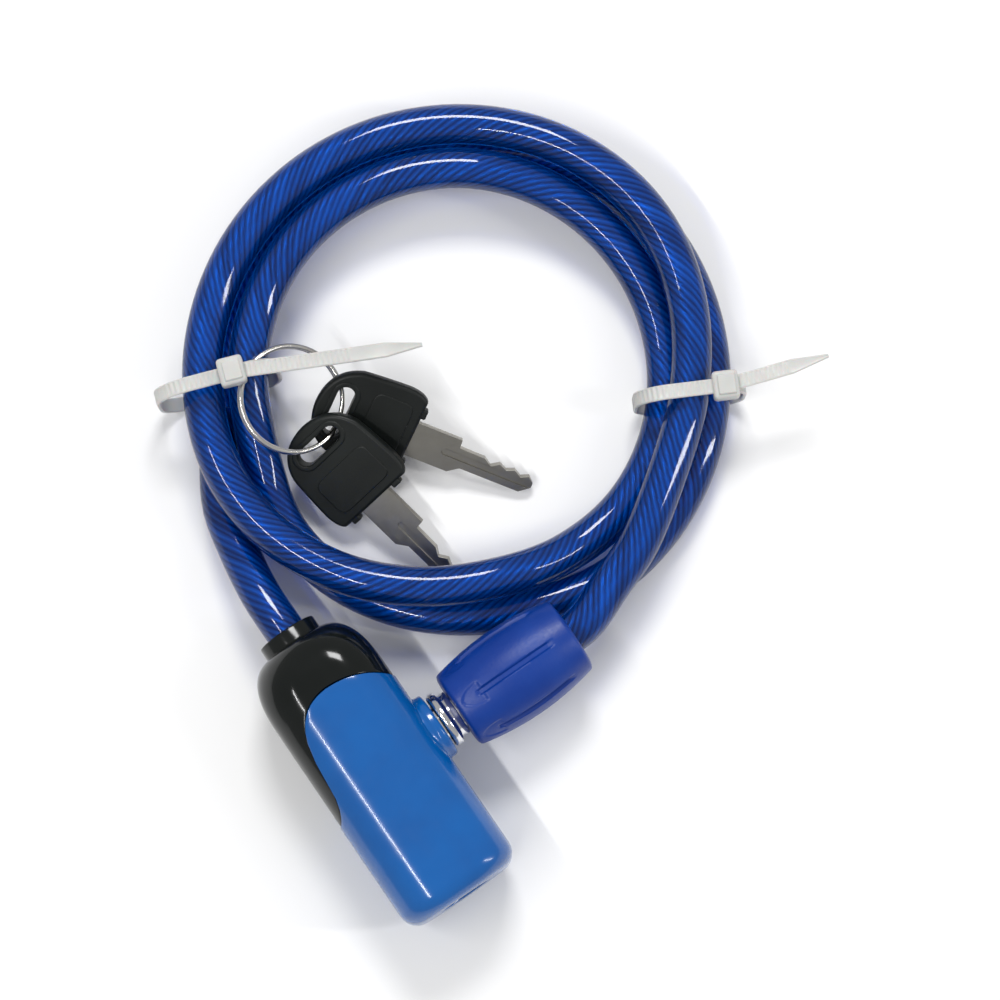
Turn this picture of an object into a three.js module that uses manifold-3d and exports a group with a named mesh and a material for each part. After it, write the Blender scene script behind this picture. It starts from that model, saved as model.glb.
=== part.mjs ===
// Key-operated bicycle cable lock, coiled for storage with its two keys on a split ring.
// Millimetres, +Z up. The origin is on the flat underside of the lock body, under the
// point where the locking pin's axis (X) crosses the key cylinder's axis (Y).
import * as THREE from 'three';
import { mergeVertices } from 'three/addons/utils/BufferGeometryUtils.js';
import Module from 'manifold-3d';

const wasm = await Module();
wasm.setup();

// ---- driving dimensions ----
const AXIS_Z = 15.5; // height of the pin's and the cylinder's axes
const GAP = 0.3; // between touching pieces

const BODY_HALF = 15.7; // lock body, half its width
const BODY_RADIUS = 10.5; // its long edges
const KEY_END = -37.7;
const COLLAR_TOP = 39.2;
const COLLAR_R = 7.6;
const COLLAR_H = 3.7;
const DOME_START = 20.5;
const SKIN = 2.4; // wall of the shell and the hood
const BOSS_FACE = 18.1;
const BOSS_R = 8.4;

const CYL_R = 6.35; // lock cylinder
const CYL_FRONT = -35.5;
const CYL_BACK = -11;
const ROTOR_R = 4.7;
const WAFERS = 5;
const WAFER_PITCH = 3;
const WAFER_FIRST = -30;

const PIN_R = 4.5;
const PIN_TIP = -2.5;
const GROOVE_R = 3;
const GROOVE_FROM = 2;
const GROOVE_TO = 5;
const LATCH_TRAVEL = 1.6;
const CAM_OFFSET = 0.8; // of the cam's pin, along X and below the axis

const FLANGE_FROM = 18.5;
const GRIP_FROM = 23.5;
const GRIP_TO = 56.6;
const GRIP_END_R = 9.8;
const GRIP_MID_R = 11.75;

const CABLE_R = 4.85; // circumscribed radius of the sleeve's faceted tube
const ROPE_R = 3;
const SLEEVE_BORE = ROPE_R + 2 * GAP + 0.2;
const LEAD = 82; // from the hood to just before the left tie
const COIL_CENTRE = [70.2, 68.2];
const COIL_R = 57;

const WIRE_W = 1.3; // split ring's section
const WIRE_H = 2.6;
const RING_R = 13;
const RING_CENTRE = [33, 85.6, 18.1];
const RING_TILT = 20.7;
const RING_HEADING = -39.4;

const BLADE_T = 1.8;
const HEAD_T = 3.4;

const TIE_W = 3.6; // nylon ties
const TIE_POINT = 9; // length over which a tail tapers

// ---- solids ----
const turn = THREE.MathUtils.degToRad;

function toSolid(geometry) {
  const g = geometry.clone();
  g.deleteAttribute('normal');
  g.deleteAttribute('uv');
  const merged = mergeVertices(g, 1e-4);
  const index = merged.index.array;
  return new wasm.Manifold(
    new wasm.Mesh({
      numProp: 3,
      vertProperties: new Float32Array(merged.attributes.position.array),
      triVerts: new Uint32Array(index),
    }),
  );
}

function toGeometry(solid) {
  const mesh = solid.getMesh();
  const g = new THREE.BufferGeometry();
  g.setAttribute('position', new THREE.BufferAttribute(new Float32Array(mesh.vertProperties), 3));
  g.setIndex(new THREE.BufferAttribute(new Uint32Array(mesh.triVerts), 1));
  g.computeVertexNormals();
  return g;
}

function cut(base, ...tools) {
  return tools.reduce((solid, tool) => solid.subtract(toSolid(tool)), toSolid(base));
}

function box(x0, x1, y0, y1, z0, z1) {
  const g = new THREE.BoxGeometry(x1 - x0, y1 - y0, z1 - z0);
  return g.translate((x0 + x1) / 2, (y0 + y1) / 2, (z0 + z1) / 2);
}

// Lathe about +Y from [radius, y] pairs.
function lathe(profile, sides = 28) {
  return new THREE.LatheGeometry(profile.map(([r, y]) => new THREE.Vector2(r, y)), sides);
}

// Round bar along 'x', 'y' or 'z' from a to b, through (p, q) on the other two axes.
function bar(axis, r, a, b, p = 0, q = AXIS_Z, sides = 28) {
  const g = new THREE.CylinderGeometry(r, r, b - a, sides);
  const mid = (a + b) / 2;
  if (axis === 'x') return g.rotateZ(-Math.PI / 2).translate(mid, p, q);
  if (axis === 'y') return g.translate(p, mid, q);
  return g.rotateX(Math.PI / 2).translate(p, q, mid);
}

// A turned piece along X, from [x, radius] pairs that start and end on the axis.
function turnedX(pairs, sides = 28, y = 0) {
  const g = lathe(pairs.map(([x, r]) => [r, x]), sides);
  return g.rotateZ(-Math.PI / 2).translate(0, y, AXIS_Z);
}

// A closed skin through rings that all have the same number of points.
function loft(rings) {
  const n = rings[0].length;
  const points = rings.flat();
  const index = [];
  for (let k = 0; k + 1 < rings.length; k++) {
    for (let i = 0; i < n; i++) {
      const a = k * n + i;
      const b = k * n + ((i + 1) % n);
      index.push(a, b, b + n, a, b + n, a + n);
    }
  }
  const last = (rings.length - 1) * n;
  for (let i = 1; i + 1 < n; i++) {
    index.push(0, i + 1, i);
    index.push(last, last + i, last + i + 1);
  }
  const g = new THREE.BufferGeometry();
  g.setAttribute('position', new THREE.Float32BufferAttribute(points.flatMap((p) => p.toArray()), 3));
  g.setIndex(index);
  g.computeVertexNormals();
  return g;
}

// Rounded rectangle in the XZ plane at y, half sizes a and b, corner radius r.
function section(y, a, b, r, steps = 5) {
  const ring = [];
  for (let corner = 0; corner < 4; corner++) {
    const sx = corner === 0 || corner === 3 ? 1 : -1;
    const sz = corner < 2 ? 1 : -1;
    for (let i = 0; i <= steps; i++) {
      const angle = (corner + i / steps) * Math.PI / 2;
      ring.push(new THREE.Vector3(
        sx * (a - r) + r * Math.cos(angle), y, AXIS_Z + sz * (b - r) + r * Math.sin(angle),
      ));
    }
  }
  return ring.reverse();
}

// A tube of the given radius along a curve, with an optional bore.
function tube(curve, radius, bore, steps, sides) {
  const shape = new THREE.Shape(circle(radius, sides));
  if (bore > 0) shape.holes.push(new THREE.Path(circle(bore, sides).reverse()));
  const options = { extrudePath: curve, steps, curveSegments: sides, bevelEnabled: false };
  return new THREE.ExtrudeGeometry(shape, options);
}

function circle(radius, sides) {
  const points = [];
  for (let i = 0; i < sides; i++) {
    const angle = (i / sides) * 2 * Math.PI;
    points.push(new THREE.Vector2(radius * Math.cos(angle), radius * Math.sin(angle)));
  }
  return points;
}

// Compression spring along +Z from z0 to z1.
class Helix extends THREE.Curve {
  constructor(radius, turns, x, y, z0, z1) {
    super();
    Object.assign(this, { radius, turns, x, y, z0, z1 });
  }

  getPoint(t, target = new THREE.Vector3()) {
    const angle = t * this.turns * 2 * Math.PI;
    return target.set(
      this.x + this.radius * Math.cos(angle),
      this.y + this.radius * Math.sin(angle),
      this.z0 + (this.z1 - this.z0) * t,
    );
  }
}

// ---- materials ----
const FINISHES = {
  blue: [0x0068b0, 0.25, 0],
  gripBlue: [0x003e96, 0.5, 0],
  black: [0x101814, 0.2, 0],
  zinc: [0x9a9da0, 0.5, 0.8],
  brass: [0xb59a55, 0.35, 1],
  steel: [0xc8c8c6, 0.25, 1],
  chrome: [0xe6e6e6, 0.1, 1],
  nickel: [0xa8a49a, 0.35, 1],
  nylon: [0xe8e8e2, 0.5, 0],
  pvc: [0x0032a0, 0.15, 0],
};

const group = new THREE.Group();

function add(name, shape, finish) {
  const [color, roughness, metalness] = FINISHES[finish];
  const material = new THREE.MeshStandardMaterial({ color, roughness, metalness });
  const geometry = shape.isBufferGeometry ? shape : toGeometry(shape);
  const mesh = new THREE.Mesh(geometry, material);
  mesh.name = name;
  group.add(mesh);
  return mesh;
}

// ---- lock body ----

// The seam between shell and hood: an arch over the front and back, with a tongue down -X.
function seamPrism(offset, upper) {
  const outline = new THREE.Shape();
  outline.moveTo(20, 14 + offset);
  outline.lineTo(15.9, 15.2 + offset);
  outline.quadraticCurveTo(9, 21.2 + offset, 0, 21.2 + offset);
  outline.quadraticCurveTo(-11.4 - offset, 20.6 + offset, -11.9 - offset, 6);
  outline.quadraticCurveTo(-12.2 - offset, -4.5, -15.2, -7.2);
  outline.lineTo(-20, -9);
  outline.lineTo(-20, upper ? 45 : -45);
  outline.lineTo(20, upper ? 45 : -45);
  const prism = new THREE.ExtrudeGeometry(outline, { depth: 40, curveSegments: 7, bevelEnabled: false });
  return prism.translate(0, 0, -4);
}

function innerSpace(y0, y1) {
  const half = BODY_HALF - SKIN - GAP;
  return loft([section(y0, half, half - 0.2, 8), section(y1, half, half - 0.2, 8)]);
}

function bodyShell() {
  const half = BODY_HALF;
  const outer = [[0, 4.4], [0.7, 2.2], [2.2, 0.7], [4.6, 0]].map(([dy, inset]) => (
    section(KEY_END + dy, half - inset, half - 0.2 - inset, BODY_RADIUS - inset * 0.6)
  ));
  outer.push(section(24, half, half - 0.2, BODY_RADIUS));
  let solid = toSolid(loft(outer)).add(toSolid(bar('x', BOSS_R, 11, BOSS_FACE)));
  solid = solid.subtract(toSolid(innerSpace(-35.2, 30)));
  solid = solid.subtract(toSolid(bar('y', CYL_R + GAP, -40, -34)));
  solid = solid.subtract(toSolid(bar('x', 6.6, 8, 20)));
  return solid.intersect(toSolid(seamPrism(-GAP, false)));
}

function blackHood() {
  const half = BODY_HALF - 0.3;
  const rings = [-12, DOME_START].map((y) => section(y, half, half - 0.2, BODY_RADIUS));
  const length = COLLAR_TOP - COLLAR_H - DOME_START;
  for (const t of [0.25, 0.5, 0.7, 0.85, 0.95, 1]) {
    const k = Math.sqrt(1 - t ** 2.3);
    const a = COLLAR_R + 0.8 + (half - COLLAR_R - 0.8) * k;
    rings.push(section(DOME_START + length * t, a, a - 0.2 * k, BODY_RADIUS * k + (a - 0.3) * (1 - k)));
  }
  let solid = toSolid(loft(rings)).add(toSolid(bar('y', COLLAR_R, 34, COLLAR_TOP)));
  solid = solid.subtract(toSolid(innerSpace(-20, 22)));
  const hollow = lathe([[0, 21], [12.4, 21], [11.2, 27], [7, 31.4], [0, 31.4]]).translate(0, 0, AXIS_Z);
  solid = solid.subtract(toSolid(hollow));
  solid = solid.subtract(toSolid(bar('y', CABLE_R + GAP + 0.15, 30, 42)));
  return solid.intersect(toSolid(seamPrism(0, true)));
}

function lockCase() {
  const half = BODY_HALF - SKIN - 2 * GAP;
  const base = loft([section(-34.9, half, half - 0.2, 7.7), section(16, half, half - 0.2, 7.7)]);
  return cut(
    base,
    bar('y', CYL_R + GAP, -40, -10.7),
    box(-6.4, 6.4, -10.8, -6.8, 8.2, 21.6),
    box(2, 5, -7, 2.9, 8.2, 13),
    bar('x', PIN_R + GAP, -3.2, 20),
    bar('x', 6.6, 10, 20),
    bar('z', 2, 4.4, 9, -3.4, -8.2, 16),
    bar('y', 5.7, 5.2, 20),
    bar('x', 1.6, -20, 20, 10.5, 21.7, 16),
  );
}

function lockBody() {
  add('body_shell', bodyShell(), 'blue');
  add('black_hood', blackHood(), 'black');
  add('lock_case', lockCase(), 'zinc');
  add('socket_bush', cut(bar('x', 6.3, 10.3, 17.9), bar('x', PIN_R + GAP, 5, 20)), 'steel');
  const outline = [[0, 5.5], [5.4, 5.5], [5.4, 9], [4.6, 9.2], [4.6, 11.8], [5.4, 12], [5.4, 15.7], [0, 15.7]];
  const ferrule = lathe(outline, 20).translate(0, 0, AXIS_Z);
  add('body_ferrule', cut(ferrule, bar('y', ROPE_R + GAP, 7, 20, 0, AXIS_Z, 12)), 'steel');
  add('ferrule_pin', bar('x', 1.3, -12.3, 12.3, 10.5, 21.7, 12), 'steel');
}

// ---- key cylinder and latch ----
function keyCylinder() {
  const stator = cut(
    bar('y', CYL_R, CYL_FRONT, CYL_BACK),
    bar('y', ROTOR_R + GAP, -40, -5),
    box(-2.6, 2.6, -31.5, -16, 9.6, 21.4),
  );
  add('cylinder_stator', stator, 'brass');

  const cuts = [box(-1.1, 1.1, -40, -14, AXIS_Z - 3.4, AXIS_Z + 3.4)];
  for (let i = 0; i < WAFERS; i++) {
    const y = WAFER_FIRST + i * WAFER_PITCH;
    cuts.push(box(-2.6, 2.6, y - 0.7, y + 0.7, 5, 26));
    cuts.push(box(2.3, 4.05, y - 0.7, y + 0.7, AXIS_Z - 2.2, AXIS_Z + 2));
  }
  add('key_cylinder', cut(bar('y', ROTOR_R, CYL_FRONT + 0.3, CYL_BACK - 0.3), ...cuts), 'brass');

  for (let i = 0; i < WAFERS; i++) {
    const y = WAFER_FIRST + i * WAFER_PITCH;
    const plate = toSolid(box(-2.3, 2.3, y - 0.4, y + 0.4, AXIS_Z - 4.1, AXIS_Z + 4.1));
    const lug = toSolid(box(1.8, 3.8, y - 0.4, y + 0.4, AXIS_Z + 0.9, AXIS_Z + 1.7));
    const window = toSolid(box(-1.2, 1.2, y - 1, y + 1, AXIS_Z - 2.5 + 0.25 * (i % 3), AXIS_Z + 2.4));
    add(`wafer_${i + 1}`, plate.add(lug).subtract(window), 'brass');
    const spring = new Helix(0.4, 2.5, 3.2, y, AXIS_Z - 1.8, AXIS_Z + 0.5);
    add(`wafer_spring_${i + 1}`, tube(spring, 0.11, 0, 18, 4), 'steel');
  }

  const disc = toSolid(bar('y', 4.2, -10.9, -9.7));
  const crank = toSolid(bar('y', 1.1, -9.9, -7.1, CAM_OFFSET, AXIS_Z - CAM_OFFSET, 16));
  add('cam', disc.add(crank), 'steel');

  const slotZ = AXIS_Z - CAM_OFFSET;
  const slot = box(-2.6, 2.6, -12, -5, slotZ - 1.38, slotZ + 1.38);
  const plate = cut(box(-5.6, 5.6, -9.3, -7.2, 8.6, 19.6), slot);
  const tongue = toSolid(box(2.3, 4.7, -7.5, 2.6, 8.6, AXIS_Z - PIN_R - GAP));
  add('latch_plate', plate.add(tongue), 'steel');
  add('latch_spring', tube(new Helix(1.3, 3, -3.4, -8.2, 4.8, 8.1), 0.25, 0, 30, 5), 'steel');
}

// ---- plug ----
function grip() {
  const profile = [[GRIP_FROM, 0], [GRIP_FROM, GRIP_END_R - 0.6], [GRIP_FROM + 0.6, GRIP_END_R]];
  const half = (GRIP_TO - GRIP_FROM) / 2;
  for (const t of [-0.62, -0.3, 0, 0.3, 0.62]) {
    profile.push([GRIP_FROM + half * (1 + t), GRIP_END_R + (GRIP_MID_R - GRIP_END_R) * (1 - t * t)]);
  }
  profile.push([GRIP_TO - 0.6, GRIP_END_R], [GRIP_TO, GRIP_END_R - 0.6], [GRIP_TO, 0]);
  const cuts = [
    bar('x', PIN_R + GAP, 20, 40),
    bar('x', 6.3, 32.4, 50.7),
    bar('x', CABLE_R + 2 * GAP, 40, 60),
  ];
  for (let i = 0; i < 6; i++) {
    const angle = turn(30 + i * 60);
    const groove = new THREE.BoxGeometry(21, 1.4, 2).translate(40.5, 0, 12.1);
    cuts.push(groove.rotateX(angle).translate(0, 0, AXIS_Z));
  }
  return cut(turnedX(profile, 30), ...cuts);
}

function plug() {
  const pinProfile = [
    [PIN_TIP, 0], [PIN_TIP, PIN_R - 1.5], [PIN_TIP + 1.5, PIN_R], [GROOVE_FROM, PIN_R],
    [GROOVE_FROM, GROOVE_R], [GROOVE_TO, GROOVE_R], [GROOVE_TO, PIN_R], [32.8, PIN_R],
    [32.8, 6], [35.2, 6], [35.2, 0],
  ];
  add('locking_pin', turnedX(pinProfile), 'chrome');
  const flange = [[FLANGE_FROM, 0], [FLANGE_FROM, 6.7], [FLANGE_FROM + 0.6, 7.35], [20.5, 7.35], [21.1, 6.7],
    [21.1, 5.9], [23.2, 5.9], [23.2, 0]];
  add('chrome_flange', cut(turnedX(flange), bar('x', PIN_R + GAP, 15, 30)), 'chrome');
  add('plug_grip', grip(), 'gripBlue');
  const ropeHole = bar('x', ROPE_R + GAP, 38.4, 60, 0, AXIS_Z, 12);
  add('plug_ferrule', cut(bar('x', 5.8, 37, 48.9, 0, AXIS_Z, 20), ropeHole), 'steel');
  const washer = bar('x', 6, 49.2, 50.4, 0, AXIS_Z, 20);
  add('swivel_washer', cut(washer, bar('x', 4.1, 40, 60, 0, AXIS_Z, 16)), 'steel');
}

// ---- cable ----

// Where the coiled turns lie: [angle about the coil's centre, distance from the mean radius, height].
const TURNS = [
  [165, 5.4, 5.7], [145.5, 0, 6.3], [100, 0, 6.2], [60, 0, 6.2], [35, 3, 6.2], [12, 5.3, 6.2],
  [-34.5, 5.4, 6.3], [-85, 4.8, 5.2], [-104, 2.2, 5.1], [-120, 1.4, 5.3], [-150, 0.8, 5.3],
  [-172, -0.8, 5.8], [-189, -4.2, 8.9], [-202, -5.6, 13.2], [-217, -5.7, 15.8], [-260, -5.5, 15.6],
  [-304.5, -5.5, 15.6], [-345, -5.5, 11.4], [-385, -5.4, 6.6], [-430, -5.6, 6.4], [-450, -6.2, 8.2],
  [-466, -6.2, 12.6], [-478, -5.8, 14.4], [-497, -3.4, 15.9], [-520, 0.6, 16.8], [-545, 4.4, 16.5],
  [-574.5, 5.5, 15.7], [-620, 5.5, 15.7], [-664.5, 5.5, 15.9], [-690, 5.4, 16.6], [-715, 4.4, 16.6],
  [-754.5, 0, 16], [-772, -0.6, 15.6],
];
const BODY_LEAD = [[0, 20, 15.5], [0, 39.2, 15.4], [0.1, 50, 13.6], [1.6, 62, 9.4], [4.6, 75, 6.2]];
const PLUG_LEAD = [[84, 9.4, 15.7], [71, 4.2, 15.6], [61.5, 0.5, 15.5], [56, 0, 15.5], [51.2, 0, 15.5]];
const TURN_STEP = 7.5;

// Value k of TURNS at an angle: a cubic through the rows that never overshoots them.
function turnValue(angle, k) {
  let i = 0;
  while (i < TURNS.length - 2 && angle < TURNS[i + 1][0]) i++;
  const last = TURNS.length - 1;
  const [p0, p1, p2, p3] = [i - 1, i, i + 1, i + 2].map((k) => TURNS[Math.min(last, Math.max(0, k))]);
  const u = (angle - p1[0]) / (p2[0] - p1[0]);
  const step = p2[k] - p1[k];
  const steepest = 3 * Math.abs(step);
  const limit = (slope) => (step * slope <= 0 ? 0 : THREE.MathUtils.clamp(slope, -steepest, steepest));
  const m1 = limit(((p2[k] - p0[k]) / (p2[0] - p0[0])) * (p2[0] - p1[0]));
  const m2 = limit(((p3[k] - p1[k]) / (p3[0] - p1[0])) * (p2[0] - p1[0]));
  return p1[k] * (2 * u ** 3 - 3 * u * u + 1) + m1 * (u ** 3 - 2 * u * u + u)
    + p2[k] * (3 * u * u - 2 * u ** 3) + m2 * (u ** 3 - u * u);
}

function cableRoute() {
  const points = BODY_LEAD.map((p) => new THREE.Vector3(...p));
  for (let angle = TURNS[0][0]; angle >= TURNS[TURNS.length - 1][0]; angle -= TURN_STEP) {
    const r = COIL_R + turnValue(angle, 1);
    points.push(new THREE.Vector3(
      COIL_CENTRE[0] + r * Math.cos(turn(angle)), COIL_CENTRE[1] + r * Math.sin(turn(angle)), turnValue(angle, 2),
    ));
  }
  points.push(...PLUG_LEAD.map((p) => new THREE.Vector3(...p)));
  return new THREE.CatmullRomCurve3(points, false, 'centripetal');
}

// The stretch of a curve between two lengths along it.
class Stretch extends THREE.Curve {
  constructor(whole, from, to) {
    super();
    Object.assign(this, { whole, from: from / whole.getLength(), to: to / whole.getLength() });
  }

  getPoint(t, target) {
    return this.whole.getPointAt(this.from + (this.to - this.from) * t, target);
  }
}

function cable() {
  const route = cableRoute();
  route.arcLengthDivisions = 1500;
  const length = route.getLength();
  add('cable_sleeve_lead', tube(new Stretch(route, 0, LEAD), CABLE_R, SLEEVE_BORE, 12, 10), 'pvc');
  add('cable_sleeve', tube(new Stretch(route, LEAD + GAP, length), CABLE_R, SLEEVE_BORE, 80, 10), 'pvc');
  const tailIn = new THREE.LineCurve3(new THREE.Vector3(0, 7.3, AXIS_Z), new THREE.Vector3(0, 20, AXIS_Z));
  add('wire_rope_lead', tube(new Joined(tailIn, new Stretch(route, 0, LEAD)), ROPE_R, 0, 14, 8), 'steel');
  const tailOut = new THREE.LineCurve3(new THREE.Vector3(51.2, 0, AXIS_Z), new THREE.Vector3(38.8, 0, AXIS_Z));
  const coiled = new Joined(new Stretch(route, LEAD + GAP, length), tailOut);
  add('wire_rope', tube(coiled, ROPE_R, 0, 80, 8), 'steel');
}

// Two curves end to end as one, spaced by length.
class Joined extends THREE.Curve {
  constructor(first, second) {
    super();
    Object.assign(this, { first, second, share: first.getLength() / (first.getLength() + second.getLength()) });
  }

  getPoint(t, target) {
    if (t <= this.share) return this.first.getPointAt(t / this.share, target);
    return this.second.getPointAt((t - this.share) / (1 - this.share), target);
  }
}

// ---- ties ----

// A strap round the bundle in the vertical plane through `centre` along `heading`,
// with its head on top and its tail running off level.
function tie(name, o) {
  const outline = (grow) => {
    const s = new THREE.Shape();
    const [x0, x1, z0, z1] = [o.from - grow, o.to + grow, 1 - grow, o.top + grow];
    const r = o.corner + grow;
    s.moveTo(x0 + r, z0);
    s.lineTo(x1 - r, z0);
    s.absarc(x1 - r, z0 + r, r, -Math.PI / 2, 0);
    s.lineTo(x1, z1 - r);
    s.absarc(x1 - r, z1 - r, r, 0, Math.PI / 2);
    s.lineTo(x0 + r, z1);
    s.absarc(x0 + r, z1 - r, r, Math.PI / 2, Math.PI);
    s.lineTo(x0, z0 + r);
    s.absarc(x0 + r, z0 + r, r, Math.PI, 1.5 * Math.PI);
    return s;
  };
  const extrude = (shape, width) => (
    new THREE.ExtrudeGeometry(shape, { depth: width, curveSegments: 5, bevelEnabled: false })
      .translate(0, 0, -width / 2).rotateX(Math.PI / 2)
  );
  let solid = toSolid(extrude(outline(1), TIE_W)).subtract(toSolid(extrude(outline(0), 5)));
  solid = solid.add(toSolid(box(o.head - 3.3, o.head + 3.3, -3.6, 3.6, o.headZ, o.headZ + 4.8)));
  const tail = new THREE.Shape();
  const [a, b, w] = [o.head, o.head + o.tail, TIE_W / 2];
  tail.moveTo(a, -w);
  tail.lineTo(b - TIE_POINT, -w);
  tail.lineTo(b, -0.5);
  tail.lineTo(b, 0.5);
  tail.lineTo(b - TIE_POINT, w);
  tail.lineTo(a, w);
  const strip = new THREE.ExtrudeGeometry(tail, { depth: 1.1, bevelEnabled: false });
  strip.translate(-o.head, 0, 0).rotateZ(turn(o.tailTurn)).translate(o.head, 0, o.headZ + 1.6);
  solid = solid.add(toSolid(strip));
  const mesh = add(name, solid, 'nylon');
  mesh.rotation.z = turn(o.heading);
  mesh.position.set(o.centre[0], o.centre[1], 0);
}

function ties() {
  tie('cable_tie_left', {
    centre: [22.6, 98.6], heading: -19.5, from: -17, to: 12.2, top: 24.7, corner: 8,
    head: 2, headZ: 24.4, tail: 46.5, tailTurn: -7,
  });
  tie('cable_tie_right', {
    centre: [114.2, 32], heading: -27.5, from: -12.9, to: 12.9, top: 21.8, corner: 7.8,
    head: 8.4, headZ: 19.4, tail: 26, tailTurn: 9,
  });
}

// ---- keys and ring ----
function key(name, o) {
  const place = (mesh) => {
    mesh.rotation.set(turn(o.roll), turn(o.dip), turn(o.heading), 'ZYX');
    mesh.position.set(...o.slot);
  };
  // The slot's centre is the key's own origin and +X points at the tip.
  const head = new THREE.Shape();
  head.moveTo(19, -10.2);
  head.lineTo(19, 10.2);
  head.quadraticCurveTo(18, 11.6, 14, 12);
  head.lineTo(2, 11.2);
  head.quadraticCurveTo(-5.4, 9, -5.6, 0);
  head.quadraticCurveTo(-5.4, -9, 2, -11.2);
  head.lineTo(14, -12);
  head.quadraticCurveTo(18, -11.6, 19, -10.2);
  const slot = new THREE.Shape();
  slot.absarc(0, 4.6, 2.1, 0, Math.PI);
  slot.absarc(0, -4.6, 2.1, Math.PI, 2 * Math.PI);
  const slab = new THREE.ExtrudeGeometry(head, {
    depth: HEAD_T - 1, curveSegments: 5, bevelThickness: 0.5, bevelSize: 0.5, bevelSegments: 1,
  });
  slab.translate(0, 0, -HEAD_T / 2 + 0.5);
  const window = new THREE.ExtrudeGeometry(slot, { depth: 8, curveSegments: 6, bevelEnabled: false });
  window.translate(0, 0, -4);
  const pocket = box(8, 25, -5, 5, -BLADE_T / 2 - GAP, BLADE_T / 2 + GAP);
  place(add(`${name}_head`, cut(slab, window, pocket), 'black'));

  const blade = new THREE.Shape();
  blade.moveTo(8.3, -4.6);
  blade.lineTo(31, -4.6);
  blade.lineTo(33, -2.6);
  blade.lineTo(49, -2.6);
  blade.lineTo(51.6, -0.6);
  blade.lineTo(51.6, 0.6);
  blade.lineTo(50, 2.2);
  const bitting = [[48, 1.2], [46, 2.4], [44, 1.5], [42, 2.4], [40, 1], [38, 2.4], [36, 2.4]];
  for (const [x, y] of bitting) blade.lineTo(x, y);
  blade.lineTo(31, 2.4);
  blade.lineTo(31, 4.6);
  blade.lineTo(8.3, 4.6);
  const plate = new THREE.ExtrudeGeometry(blade, { depth: BLADE_T, bevelEnabled: false });
  plate.translate(0, 0, -BLADE_T / 2);
  const milled = box(28, 60, -0.6, 0.8, BLADE_T / 2 - 0.5, 3);
  place(add(`${name}_blade`, cut(plate, milled), 'nickel'));
}

function ringAndKeys() {
  const [w, h] = [WIRE_W / 2, WIRE_H / 2];
  const profile = [
    [RING_R - w, -h + 0.3], [RING_R - w + 0.3, -h], [RING_R + w - 0.3, -h], [RING_R + w, -h + 0.3],
    [RING_R + w, h - 0.3], [RING_R + w - 0.3, h], [RING_R - w + 0.3, h], [RING_R - w, h - 0.3], [RING_R - w, -h + 0.3],
  ];
  const ring = add('split_ring', lathe(profile, 40).rotateX(Math.PI / 2), 'steel');
  ring.rotation.set(0, turn(RING_TILT), turn(RING_HEADING), 'ZYX');
  ring.position.set(...RING_CENTRE);
  key('key_a', { slot: [41.4, 77.6, 14.5], heading: -54.4, dip: 13.4, roll: 30.8 });
  key('key_b', { slot: [32.7, 73.1, 14], heading: -78, dip: 12.9, roll: 28.8 });
}

lockBody();
keyCylinder();
plug();
cable();
ties();
ringAndKeys();

export default group;
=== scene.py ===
"""Looks for a coiled bicycle cable lock with two keys on a split ring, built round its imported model."""

import logging
import math
from dataclasses import dataclass, field
from enum import Enum

import bpy
from mathutils import Matrix, Vector


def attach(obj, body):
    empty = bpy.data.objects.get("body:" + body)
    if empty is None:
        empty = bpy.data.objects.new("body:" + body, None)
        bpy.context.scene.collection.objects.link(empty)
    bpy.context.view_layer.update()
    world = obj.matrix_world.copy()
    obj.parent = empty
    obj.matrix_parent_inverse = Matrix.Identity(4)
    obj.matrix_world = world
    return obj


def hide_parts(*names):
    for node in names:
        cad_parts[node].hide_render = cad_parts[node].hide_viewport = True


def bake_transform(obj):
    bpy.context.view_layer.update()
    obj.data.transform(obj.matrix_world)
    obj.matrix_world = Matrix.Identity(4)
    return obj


LOG = logging.getLogger("cable_lock")
MM = 0.001
AXIS_Z = 15.5  # height of the pin's and the cylinder's axes, mm

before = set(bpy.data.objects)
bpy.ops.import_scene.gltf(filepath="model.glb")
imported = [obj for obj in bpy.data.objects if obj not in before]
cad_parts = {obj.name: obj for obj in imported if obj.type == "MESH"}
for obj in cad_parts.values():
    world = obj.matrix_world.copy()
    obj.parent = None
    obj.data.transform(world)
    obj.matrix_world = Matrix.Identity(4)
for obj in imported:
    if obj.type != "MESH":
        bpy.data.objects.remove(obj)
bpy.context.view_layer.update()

Pair = tuple[float, float]
Point = tuple[float, float, float]
Row = list[Point]


class Body(Enum):
    """The moving bodies of the lock."""

    COIL = "coil"
    PLUG = "plug"
    LOCK = "lock_body"
    CYLINDER = "cylinder"
    LATCH = "latch"
    RING = "ring"
    KEY_A = "key_a"
    KEY_B = "key_b"


class Stuff(Enum):
    """How a finish answers light."""

    MOULDED = "moulded plastic"
    METAL = "metal"


# ---------------------------------------------------------------- finishes


@dataclass(frozen=True)
class Finish:
    """One surface finish.

    Attributes:
        name: material name.
        slot: the name of its slot; not used.
        stuff: plastic or metal.
        colour: main linear colour.
        shade: the colour it drifts to.
        rough: lowest and highest roughness.
        grain: grains to a metre.
        relief: height of the grain, in metres.
        coat: clear coat weight.
        brushed: how much longer the marks are along one axis.
        specular: specular level.
    """

    name: str
    slot: str
    stuff: Stuff
    colour: Point
    shade: Point
    rough: Pair = (0.15, 0.25)
    grain: float = 900.0
    relief: float = 0.00001
    coat: float = 0.0
    brushed: float = 1.0
    specular: float = 0.5


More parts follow.
